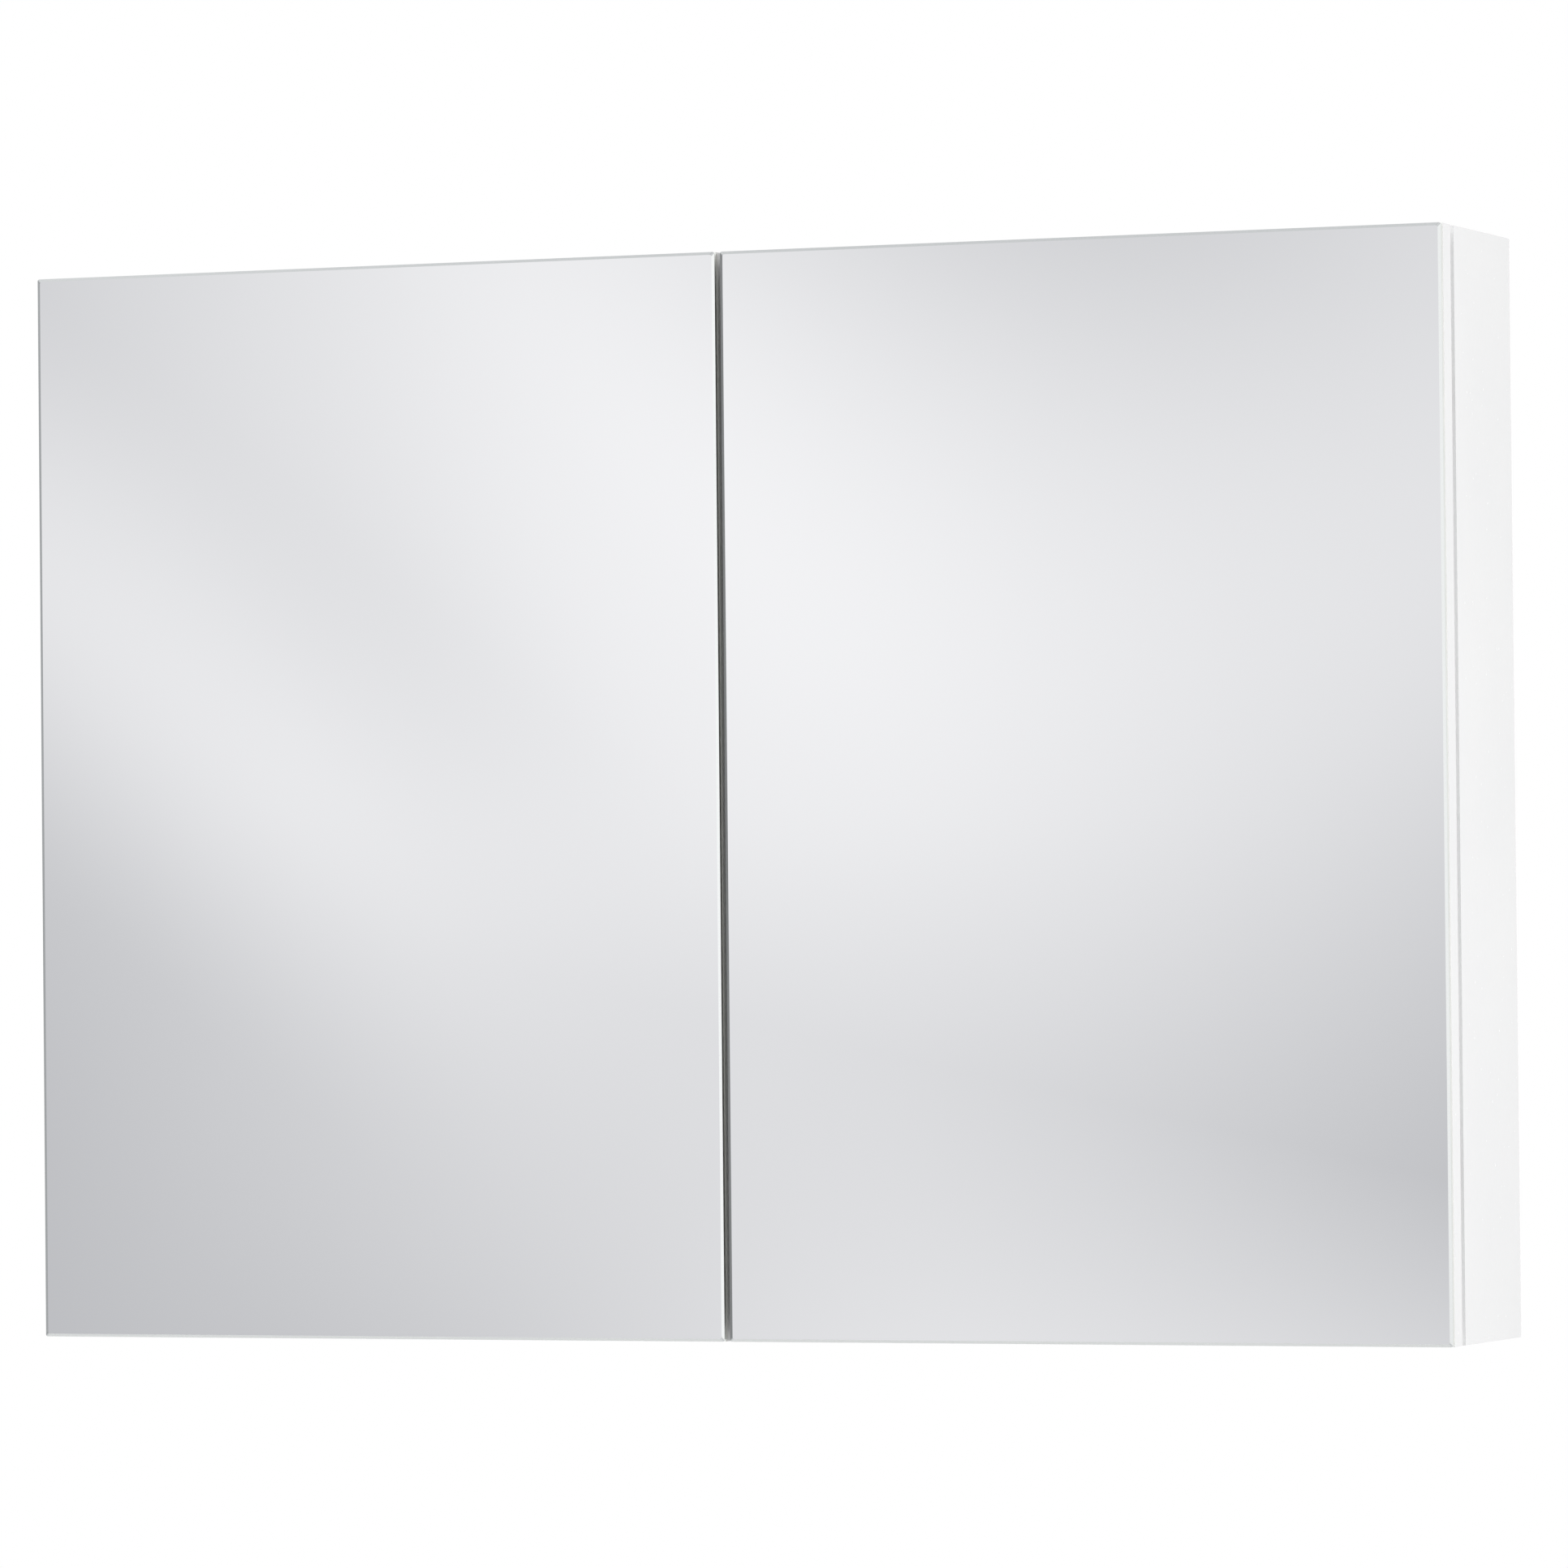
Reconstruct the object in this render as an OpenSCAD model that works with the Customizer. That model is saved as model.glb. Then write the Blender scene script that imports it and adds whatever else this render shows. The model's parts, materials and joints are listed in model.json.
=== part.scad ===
// Hanging wall cabinet with two doors, each mirrored on both of its faces.
// Frame: X to the right as seen from the front, Y into the wall, Z up. The origin lies on the
// wall plane, at the middle of the cabinet's back, level with its underside. Millimetres.

/* [Cabinet] */
// Overall width
body_w = 1000; // [800:50:1200]
// Overall height
body_h = 720; // [700:10:800]
// Overall depth, doors included
body_d = 150; // [140:5:180]
// Thickness of the carcass panels
panel_t = 16; // [16:1:18]
// How far the back panel stands in from the wall
back_inset = 16; // [14:1:20]
// Thickness of the back panel
back_t = 3; // [3:0.5:4]

/* [Doors] */
// Gap between the two doors
door_gap = 4; // [3:0.5:6]
// Gap between a closed door and the carcass
front_gap = 3; // [3:0.5:4]
// Thickness of a door's board
door_board_t = 16; // [16:1:18]
// Thickness of the outer mirror
outer_glass_t = 4; // [3:1:5]
// Thickness of the inner mirror
inner_glass_t = 3; // [3:0.5:4]
// Thickness of the adhesive tape behind each mirror
tape_t = 1; // [0.5:0.5:1]
// How far the inner mirror stands in from the door's edges
inner_glass_inset = 2; // [2:0.5:6]

/* [Shelves] */
// Thickness of a glass shelf
shelf_t = 5; // [5:1:6]
// Depth of a glass shelf
shelf_d = 88; // [80:1:90]
// Height of the lower shelf's pins
lower_row = 244; // [224:4:260]
// Height of the upper shelf's pins
upper_row = 476; // [452:4:492]

/* [Hinges] */
// Distance of the hinges from the cabinet's top and underside
hinge_inset = 110; // [104:1:120]
// Distance of the cup's centre from the door's edge
cup_x = 22.5; // [22:0.5:23]
// Outer radius of the hinge cup
cup_r = 17.5; // [17.5:0.1:17.6]
// Depth of the hinge cup
cup_depth = 12.5; // [12:0.5:12.5]

/* [Hidden] */
$fn = 48;
SIDES = ["left", "right"];
ROWS = [lower_row, upper_row];
// A bore is this much wider in radius than what sits in it
fit = 0.05;
half_w = body_w / 2;
door_w = (body_w - door_gap) / 2;
comp_w = (body_w - 3 * panel_t) / 2;
comp_x = (comp_w + panel_t) / 2;
// Heights of the layers of a door in front of the carcass's front edges
glass_in_y = front_gap;
board_y = glass_in_y + inner_glass_t + tape_t;
tape_y = board_y + door_board_t;
glass_out_y = tape_y + tape_t;
carcass_d = body_d - glass_out_y - outer_glass_t;
back_y = carcass_d - back_inset;
groove_d = 7;
// Connecting fittings, as depths behind the carcass's front edges
cam_rows = [27, 90];
dowel_rows = [44, 72];
cam_r = 7.5;
cam_x = 34;
cam_h = 12.5;
cap_h = 1;
dowel_r = 4;
dowel_l = 30;
dowel_in = 10;
screw_rows = [34, 80];
partition_dowel_y = 57;
screw_head_r = 5;
screw_l = 50;
// Shelf pins
pin_r = 2.5;
pin_rows = [37, 85];
row_pitch = 32;
pin_in = 6.5;
pad_h = 1;
// Hanging fittings
hanger_z = body_h - 70;
hanger_h = 50;
hanger_w = 15;
hanger_wall = 1.7;
hanger_front = 52.5;
boss_r = 5;
boss_in = 11;
lip_top = body_h - 36;
hanger_screw_x = 23.5;
hanger_screw_rows = [21, 35];
slot_r = 3;
slot_l = 12;
slot_spacing = 36;
plate_x0 = panel_t + 2;
plate_w = 70;
// Hinge, in plan: x inward from the cabinet's side, y forward from the carcass's front edges
HINGE_Z = [hinge_inset, body_h - hinge_inset];
arm_pivot = [29, 6.5];
cup_pivot = [12.2, 11.6];
link_bend = [20.5, 14.8];
pin_small_r = 1.25;
pin_big_r = 1.5;
cheek_out = 8.5;
cheek_t = 1.5;
link_out = 6.6;
link_t = 2;
plate_row = 37;
plate_pitch = 32;
arm_screw_rows = [26, 52];
cup_screw_x = cup_x + 9.5;
cup_screw_z = 22.4;
notch_x = 48;
notch_h = 68;
// Bevel under the front of the bottom panel
bevel_d = 16;
bevel_h = 9;
// Tape strips behind the mirrors, as distances from the door's outer edge
tape_w = 25;
outer_strips = [0.5, 160, 312, door_w - 0.5 - tape_w];
inner_strips = [60, 252, door_w - 12 - tape_w];
outer_strip_end = 1;
inner_strip_end = 20;

// ---- placing and basic shapes ----

// Plan coordinates of one side: x inward from the cabinet's side, y forward from the carcass
module left_hand() {
  translate([-half_w, -carcass_d, 0]) mirror([0, 1, 0]) children();
}

module hand(side) {
  if (side == "left") left_hand() children();
  else mirror([1, 0, 0]) left_hand() children();
}

module top_and_bottom() {
  children();
  translate([0, 0, body_h]) mirror([0, 0, 1]) children();
}

module box(x0, x1, y0, y1, z0, z1) {
  translate([x0, y0, z0]) cube([x1 - x0, y1 - y0, z1 - z0]);
}

module rod_x(r, x0, x1) {
  translate([x0, 0, 0]) rotate([0, 90, 0]) cylinder(h = x1 - x0, r = r);
}

module rod_y(r, y0, y1) {
  translate([0, y1, 0]) rotate([90, 0, 0]) cylinder(h = y1 - y0, r = r);
}

// A flat shape drawn in x and z, from y0 to y1
module sheet_y(y0, y1) {
  translate([0, y1, 0]) rotate([90, 0, 0]) linear_extrude(y1 - y0) children();
}

// A flat shape drawn in y and z, from x0 to x1
module sheet_x(x0, x1) {
  translate([x0, 0, 0]) rotate([90, 0, 90]) linear_extrude(x1 - x0) children();
}

// A rounded bar in plan between two points
module strap(p, q, r) {
  d = q - p;
  translate(p) circle(r);
  translate(q) circle(r);
  translate(p) rotate(atan2(d[1], d[0])) translate([0, -r]) square([norm(d), 2 * r]);
}

// ---- carcass ----

module side_panel(side) {
  color("white") hand(side) difference() {
    box(0, panel_t, -carcass_d, 0, 0, body_h);
    box(panel_t - groove_d, panel_t + 1, -back_y, -back_y + back_t, panel_t - groove_d,
      body_h - panel_t + groove_d);
    top_and_bottom() translate([0, 0, panel_t / 2]) {
      for (y = cam_rows) translate([0, -y, 0]) rod_x(pin_r + fit, panel_t - 11.5, panel_t + 1);
      for (y = dowel_rows)
        translate([0, -y, 0]) rod_x(dowel_r + fit, panel_t - dowel_in - 0.5, panel_t + 1);
    }
    for (z = ROWS, step = [-1, 0, 1], y = pin_rows)
      translate([0, -y, z + step * row_pitch]) rod_x(pin_r + fit, panel_t - 9, panel_t + 1);
    for (z = HINGE_Z, s = [-1, 1])
      translate([0, -plate_row, z + s * plate_pitch / 2])
        rod_x(pin_r + fit, panel_t - 11.5, panel_t + 1);
    for (z = [7, hanger_h - 7])
      translate([0, -hanger_front - 9, hanger_z + z])
        rod_x(boss_r + fit, panel_t - boss_in - 0.5, panel_t + 1);
  }
}

module side_panel_left() { side_panel("left"); }
module side_panel_right() { side_panel("right"); }

// The bottom panel, and upside down the top panel
module deck() {
  difference() {
    box(-half_w + panel_t, half_w - panel_t, -carcass_d, 0, 0, panel_t);
    box(-half_w, half_w, -back_inset - back_t, -back_inset, panel_t - groove_d, panel_t + 1);
    for (side = SIDES) hand(side) {
      for (y = cam_rows) translate([0, -y, 0]) {
        translate([0, 0, panel_t / 2]) rod_x(dowel_r, panel_t - 1, panel_t + cam_x);
        translate([panel_t + cam_x, 0, -1]) cylinder(h = cam_h + 1.2, r = cam_r + fit);
      }
      for (y = dowel_rows)
        translate([0, -y, panel_t / 2])
          rod_x(dowel_r + fit, panel_t - 1, panel_t + dowel_l - dowel_in + 0.5);
    }
    for (y = screw_rows) translate([0, y - carcass_d, 0]) {
      translate([0, 0, -1]) cylinder(h = panel_t + 2, r = 3.5);
      translate([0, 0, -1]) cylinder(h = 3.6, r = screw_head_r + fit);
    }
    translate([0, partition_dowel_y - carcass_d, panel_t - dowel_in - 0.5])
      cylinder(h = panel_t, r = dowel_r + fit);
  }
}

module top_panel() {
  color("white") translate([0, 0, body_h]) mirror([0, 0, 1]) deck();
}

// The front lower edge is bevelled so that fingers reach behind the doors
module bottom_panel() {
  color("white") difference() {
    deck();
    translate([-half_w, -carcass_d, 0]) rotate([90, 0, 90])
      linear_extrude(body_w)
      polygon([[-1, -1], [bevel_d, -1], [bevel_d, 0], [0, bevel_h], [-1, bevel_h]]);
  }
}

module centre_partition() {
  color("white") difference() {
    box(-panel_t / 2, panel_t / 2, -carcass_d, -back_inset - back_t, panel_t, body_h - panel_t);
    top_and_bottom() {
      for (y = screw_rows) translate([0, y - carcass_d, panel_t - 1])
        cylinder(h = screw_l - panel_t + 2, r = pin_r + fit);
      translate([0, partition_dowel_y - carcass_d, panel_t - 1])
        cylinder(h = dowel_l - dowel_in + 1.5, r = dowel_r + fit);
    }
    for (z = ROWS, step = [-1, 0, 1], y = pin_rows, flip = [0, 180])
      translate([0, y - carcass_d, z + step * row_pitch]) rotate([0, 0, flip])
        rod_x(pin_r + fit, 1, panel_t / 2 + 1);
  }
}

module back_panel() {
  color("whitesmoke") difference() {
    box(-half_w + panel_t - groove_d + 0.5, half_w - panel_t + groove_d - 0.5,
      -back_inset - back_t + 0.1, -back_inset, panel_t - groove_d + 0.5,
      body_h - panel_t + groove_d - 0.5);
    for (side = SIDES) hand(side)
      box(18.5, 28.5, -carcass_d, -carcass_d + 40, hanger_z + 9, hanger_z + hanger_h);
  }
}

// ---- connecting fittings ----

module cam_places() {
  for (side = SIDES) hand(side) top_and_bottom()
    for (y = cam_rows) translate([panel_t + cam_x, -y, 0]) children();
}

module cam_housings() {
  color("silver") cam_places() difference() {
    translate([0, 0, cap_h]) cylinder(h = cam_h - cap_h, r = cam_r);
    translate([0, 0, panel_t / 2]) rod_x(3.8, -cam_r - 1, 3.8);
    for (turn = [0, 90]) rotate([0, 0, turn]) translate([-4, -0.9, 0]) cube([8, 1.8, 2.6]);
  }
}

module cam_bolts() {
  color("silver") cam_places() translate([0, 0, panel_t / 2]) {
    rod_x(pin_r, -cam_x - 11, -cam_x);
    rod_x(3, -cam_x, -3.9);
    rod_x(3.5, -4, 2.5);
  }
}

module cam_caps() {
  color("white") cam_places() cylinder(h = cap_h, r = cam_r);
}

module dowels() {
  color("burlywood") {
    for (side = SIDES) hand(side) top_and_bottom()
      for (y = dowel_rows) translate([0, -y, panel_t / 2])
        rod_x(dowel_r, panel_t - dowel_in, panel_t + dowel_l - dowel_in);
    top_and_bottom() translate([0, partition_dowel_y - carcass_d, panel_t - dowel_in])
      cylinder(h = dowel_l, r = dowel_r);
  }
}

module partition_screws() {
  color("silver") top_and_bottom()
    for (y = screw_rows) translate([0, y - carcass_d, 0]) difference() {
      union() {
        cylinder(h = 2.5, r = screw_head_r);
        cylinder(h = panel_t, r = 3.45);
        cylinder(h = screw_l, r = pin_r);
      }
      translate([0, 0, -1]) cylinder(h = 3, r = 2, $fn = 6);
    }
}

// ---- hanging fittings ----

module hanger_housing(side) {
  z1 = hanger_z + hanger_h;
  rear = -back_y + back_t + 0.5;
  front = -hanger_front;
  color("white") hand(side) {
    difference() {
      box(panel_t, panel_t + hanger_w, rear, front, hanger_z, z1);
      box(panel_t - 1, panel_t + hanger_w - hanger_wall, rear + hanger_wall,
        front - hanger_wall, hanger_z + hanger_wall, z1 - hanger_wall);
      box(19.5, 28, rear - 1, rear + 3, hanger_z + 10, z1 - 3);
      for (z = hanger_screw_rows) translate([hanger_screw_x, 0, hanger_z + z]) rod_y(3.6, front - 3, front + 1);
    }
    for (z = [7, hanger_h - 7])
      translate([0, front - 9, hanger_z + z])
        rod_x(boss_r, panel_t - boss_in, panel_t + hanger_w - hanger_wall / 2);
  }
}

module hanger_housing_left() { hanger_housing("left"); }
module hanger_housing_right() { hanger_housing("right"); }

// A steel bar that leaves through the back panel and drops behind the wall plate's lip
module hanger_hook(side) {
  wall = -carcass_d;
  color("silver") hand(side) sheet_x(22, 25) polygon([
    [-71, lip_top - 18], [-71, lip_top + 8], [wall + 1.2, lip_top + 8],
    [wall + 1.2, lip_top - 8], [wall + 4, lip_top - 8], [wall + 4, lip_top],
    [wall + 10, lip_top], [wall + 13, lip_top - 16], [-86, lip_top - 18]]);
}

module hanger_hook_left() { hanger_hook("left"); }
module hanger_hook_right() { hanger_hook("right"); }

module hanger_screws() {
  color("silver") for (side = SIDES) hand(side)
    for (z = hanger_screw_rows) translate([hanger_screw_x, 0, hanger_z + z]) difference() {
      union() {
        rod_y(2.5, -70.9, -hanger_front - 2);
        rod_y(3.3, -hanger_front - 3.5, -hanger_front - 0.7);
      }
      box(-2.4, 2.4, -hanger_front - 2.2, -hanger_front, -0.5, 0.5);
      box(-0.5, 0.5, -hanger_front - 2.2, -hanger_front, -2.4, 2.4);
    }
}

module hanger_cover(side) {
  color("white") hand(side) difference() {
    box(panel_t + 0.1, panel_t + hanger_w + 1.4, -back_y + back_t + 0.6, -hanger_front + 1.8,
      hanger_z - 1.6, hanger_z + hanger_h + 1.6);
    box(panel_t - 1, panel_t + hanger_w + 0.1, -back_y - 10, -hanger_front + 0.3,
      hanger_z - 0.2, hanger_z + hanger_h + 4);
  }
}

module hanger_cover_left() { hanger_cover("left"); }
module hanger_cover_right() { hanger_cover("right"); }

// A steel plate for the wall, with two slots and an upper lip that stands off it
module wall_plate(side) {
  wall = -carcass_d;
  t = 2;
  color("silver") hand(side) difference() {
    sheet_x(plate_x0, plate_x0 + plate_w) polygon([
      [wall, lip_top - 44], [wall + t, lip_top - 44], [wall + t, lip_top - 21],
      [wall + 7, lip_top - 16], [wall + 7, lip_top], [wall + 5, lip_top],
      [wall + 5, lip_top - 15], [wall, lip_top - 20]]);
    for (s = [-1, 1])
      translate([plate_x0 + plate_w / 2 + s * slot_spacing / 2, 0, lip_top - 32]) {
        for (e = [-1, 1])
          translate([e * (slot_l / 2 - slot_r), 0, 0]) rod_y(slot_r, wall - 1, wall + 3);
        box(-slot_l / 2 + slot_r, slot_l / 2 - slot_r, wall - 1, wall + 3, -slot_r, slot_r);
      }
  }
}

module wall_plate_left() { wall_plate("left"); }
module wall_plate_right() { wall_plate("right"); }

// ---- shelves ----

module shelf(compartment, row) {
  color("lightcyan", 0.5)
    translate([compartment * comp_x - comp_w / 2 + 1, -back_inset - back_t - 3 - shelf_d,
      row + pin_r + pad_h])
      cube([comp_w - 2, shelf_d, shelf_t]);
}

module shelf_left_lower() { shelf(-1, lower_row); }
module shelf_left_upper() { shelf(-1, upper_row); }
module shelf_right_lower() { shelf(1, lower_row); }
module shelf_right_upper() { shelf(1, upper_row); }

// Every place of a shelf pin, on a wall's face and pointing away from it
module pin_places() {
  for (c = [-1, 1], z = ROWS, y = pin_rows, flip = [0, 180])
    translate([c * comp_x, y - carcass_d, z]) rotate([0, 0, flip])
      translate([-comp_w / 2, 0, 0]) children();
}

module shelf_pins() {
  color("silver") pin_places() {
    rod_x(pin_r, -pin_in, 1);
    rod_x(3.4, 0, 1.2);
    box(0, 9, -4.5, 4.5, -0.5, pin_r);
  }
}

module shelf_pads() {
  color("gainsboro", 0.6) pin_places() box(2, 8.5, -4, 4, pin_r, pin_r + pad_h);
}

// ---- hinges ----

module hinge_places(side) {
  hand(side) for (z = HINGE_Z) translate([0, 0, z]) children();
}

module hinge_plates(side) {
  color("silver") hinge_places(side) difference() {
    union() {
      box(panel_t, panel_t + 2, -62, -18, -7, 7);
      box(panel_t, panel_t + 2, -47, -27, -24, 24);
      box(panel_t, 26.5, -62, -20, -6.5, 6.5);
    }
    for (s = [-1, 1]) translate([0, -plate_row, s * plate_pitch / 2])
      rod_x(pin_r + fit, panel_t - 1, panel_t + 3);
    for (y = arm_screw_rows) translate([0, -y, 0]) rod_x(2 + fit, panel_t + 2, 28);
  }
}

module hinge_plates_left() { hinge_plates("left"); }
module hinge_plates_right() { hinge_plates("right"); }

module plate_screws() {
  color("silver") for (side = SIDES) hinge_places(side)
    for (s = [-1, 1]) translate([0, -plate_row, s * plate_pitch / 2]) difference() {
      union() {
        rod_x(pin_r, panel_t - 11, panel_t + 2.5);
        rod_x(4, panel_t + 2, panel_t + 4);
      }
      box(panel_t + 2.8, panel_t + 5, -2.4, 2.4, -0.5, 0.5);
      box(panel_t + 2.8, panel_t + 5, -0.5, 0.5, -2.4, 2.4);
    }
}

// A channel that sits over the mounting plate and carries the link between its two cheeks
module hinge_arms(side) {
  web_x = 26.6;
  color("silver") hinge_places(side) difference() {
    union() {
      for (m = [-cheek_out, cheek_out - cheek_t]) translate([0, 0, m]) linear_extrude(cheek_t) {
        strap([26, -8], arm_pivot, 3.1);
        translate([19.2, -66]) square([9, 56]);
        polygon([[19.2, -10.01], [22.9, -4], [29.1, -4], [28.2, -10.01]]);
      }
      box(web_x, web_x + 1.6, -66, -10, -cheek_out, cheek_out);
    }
    translate([arm_pivot[0], arm_pivot[1], -20]) cylinder(h = 40, r = pin_big_r);
    for (y = arm_screw_rows) translate([0, -y, 0]) rod_x(2.6, web_x - 1, web_x + 3);
  }
}

module hinge_arms_left() { hinge_arms("left"); }
module hinge_arms_right() { hinge_arms("right"); }

module arm_screws() {
  color("silver") for (side = SIDES) hinge_places(side)
    for (y = arm_screw_rows) translate([0, -y, 0]) difference() {
      union() {
        rod_x(2, 20, 29);
        rod_x(4, 28.2, 30.4);
      }
      box(29.4, 31, -2.4, 2.4, -0.5, 0.5);
      box(29.4, 31, -0.5, 0.5, -2.4, 2.4);
    }
}

module arm_pins(side) {
  color("silver") hinge_places(side)
    translate([arm_pivot[0], arm_pivot[1], -cheek_out]) cylinder(h = 2 * cheek_out, r = pin_big_r);
}

module arm_pins_left() { arm_pins("left"); }
module arm_pins_right() { arm_pins("right"); }

// Two curved plates joined by a bridge, from the arm's pin round into the cup
module hinge_links(side) {
  color("silver") hinge_places(side) difference() {
    union() {
      for (z = [-link_out, link_out - link_t]) translate([0, 0, z]) linear_extrude(link_t) {
        strap(cup_pivot, link_bend, 2.2);
        strap(link_bend, arm_pivot, 2.2);
        translate(cup_pivot) circle(2.6);
        translate(arm_pivot) circle(2.9);
      }
      translate([0, 0, -link_out]) linear_extrude(2 * link_out) translate(link_bend) circle(1.6);
    }
    translate([cup_pivot[0], cup_pivot[1], -20]) cylinder(h = 40, r = pin_small_r + fit);
    translate([arm_pivot[0], arm_pivot[1], -20]) cylinder(h = 40, r = pin_big_r + fit);
  }
}

module hinge_links_left() { hinge_links("left"); }
module hinge_links_right() { hinge_links("right"); }

module hinge_cups(side) {
  rim = board_y - 1;
  color("silver") hinge_places(side) difference() {
    union() {
      translate([cup_x, 0, 0]) rod_y(cup_r, rim, board_y + cup_depth);
      sheet_y(rim, board_y) {
        translate([cup_x, 0]) circle(cup_r + 1.5);
        for (s = [-1, 1]) translate([cup_screw_x, s * cup_screw_z]) circle(6);
        translate([cup_x + 3.5, -cup_screw_z]) square([12, 2 * cup_screw_z]);
      }
    }
    translate([cup_x, 0, 0]) rod_y(cup_r - 1.6, rim - 1, board_y + cup_depth - 1.2);
    translate([cup_pivot[0], cup_pivot[1], -13.2]) cylinder(h = 26.4, r = pin_small_r);
    for (s = [-1, 1]) translate([cup_screw_x, 0, s * cup_screw_z])
      rod_y(2, rim - 1, board_y + 1);
  }
}

module hinge_cups_left() { hinge_cups("left"); }
module hinge_cups_right() { hinge_cups("right"); }

module cup_pins(side) {
  color("silver") hinge_places(side)
    translate([cup_pivot[0], cup_pivot[1], -13]) cylinder(h = 26, r = pin_small_r);
}

module cup_pins_left() { cup_pins("left"); }
module cup_pins_right() { cup_pins("right"); }

module cup_screws(side) {
  rim = board_y - 1;
  color("silver") hinge_places(side)
    for (s = [-1, 1]) translate([cup_screw_x, 0, s * cup_screw_z]) difference() {
      union() {
        rod_y(1.75, rim - 0.5, board_y + 11);
        rod_y(3.5, rim - 1.8, rim);
      }
      box(-2, 2, rim - 3, rim - 1, -0.4, 0.4);
      box(-0.4, 0.4, rim - 3, rim - 1, -2, 2);
    }
}

module cup_screws_left() { cup_screws("left"); }
module cup_screws_right() { cup_screws("right"); }

// ---- doors ----

module door_board(side) {
  color("white") hand(side) difference() {
    box(0, door_w, board_y, board_y + door_board_t, 0, body_h);
    for (z = HINGE_Z) translate([0, 0, z]) {
      translate([cup_x, 0, 0]) rod_y(cup_r + fit, board_y - 1, board_y + cup_depth + 0.3);
      for (s = [-1, 1]) translate([cup_screw_x, 0, s * cup_screw_z])
        rod_y(1.75 + fit, board_y - 1, board_y + 11.5);
    }
  }
}

module door_board_left() { door_board("left"); }
module door_board_right() { door_board("right"); }

module outer_mirror(side) {
  color("gainsboro") hand(side)
    box(0, door_w, glass_out_y, glass_out_y + outer_glass_t, 0, body_h);
}

module outer_mirror_left() { outer_mirror("left"); }
module outer_mirror_right() { outer_mirror("right"); }

// Cut away around the hinges, from the edge beside them
module inner_mirror(side) {
  i = inner_glass_inset;
  color("gainsboro") hand(side) difference() {
    box(i, door_w - i, glass_in_y, glass_in_y + inner_glass_t, i, body_h - i);
    for (z = HINGE_Z) box(-1, notch_x, 0, board_y + 1, z - notch_h / 2, z + notch_h / 2);
  }
}

module inner_mirror_left() { inner_mirror("left"); }
module inner_mirror_right() { inner_mirror("right"); }

// Strips of double-sided tape, a millimetre thick, that carry both mirrors
module mirror_tapes(side) {
  color("ivory") hand(side) {
    for (x = outer_strips)
      box(x, x + tape_w, tape_y, glass_out_y, outer_strip_end, body_h - outer_strip_end);
    for (x = inner_strips)
      box(x, x + tape_w, board_y - tape_t, board_y, inner_strip_end, body_h - inner_strip_end);
  }
}

module mirror_tapes_left() { mirror_tapes("left"); }
module mirror_tapes_right() { mirror_tapes("right"); }

// Clear buffers on the inner mirror, which meet the partition's front edge
module door_bumpers(side) {
  color("gainsboro", 0.6) hand(side) top_and_bottom()
    translate([door_w - 4 - inner_glass_inset, 0, 40]) difference() {
      rod_y(3.5, 0.4, glass_in_y);
      rod_y(1, -1, 1);
    }
}

module door_bumpers_left() { door_bumpers("left"); }
module door_bumpers_right() { door_bumpers("right"); }

side_panel_left();
side_panel_right();
top_panel();
bottom_panel();
centre_partition();
back_panel();
cam_housings();
cam_bolts();
cam_caps();
dowels();
partition_screws();
hanger_housing_left();
hanger_housing_right();
hanger_hook_left();
hanger_hook_right();
hanger_screws();
hanger_cover_left();
hanger_cover_right();
wall_plate_left();
wall_plate_right();
shelf_left_lower();
shelf_left_upper();
shelf_right_lower();
shelf_right_upper();
shelf_pins();
shelf_pads();
hinge_plates_left();
hinge_plates_right();
plate_screws();
hinge_arms_left();
hinge_arms_right();
arm_screws();
arm_pins_left();
arm_pins_right();
hinge_links_left();
hinge_links_right();
door_board_left();
door_board_right();
outer_mirror_left();
outer_mirror_right();
inner_mirror_left();
inner_mirror_right();
mirror_tapes_left();
mirror_tapes_right();
hinge_cups_left();
hinge_cups_right();
cup_pins_left();
cup_pins_right();
cup_screws_left();
cup_screws_right();
door_bumpers_left();
door_bumpers_right();
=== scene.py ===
"""Looks of the hanging wall cabinet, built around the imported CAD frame.

Metres. X runs to the right as seen from the front, Y into the wall, Z up.
"""

import json
import math

import bmesh
import bpy
from mathutils import Matrix, Vector


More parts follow.
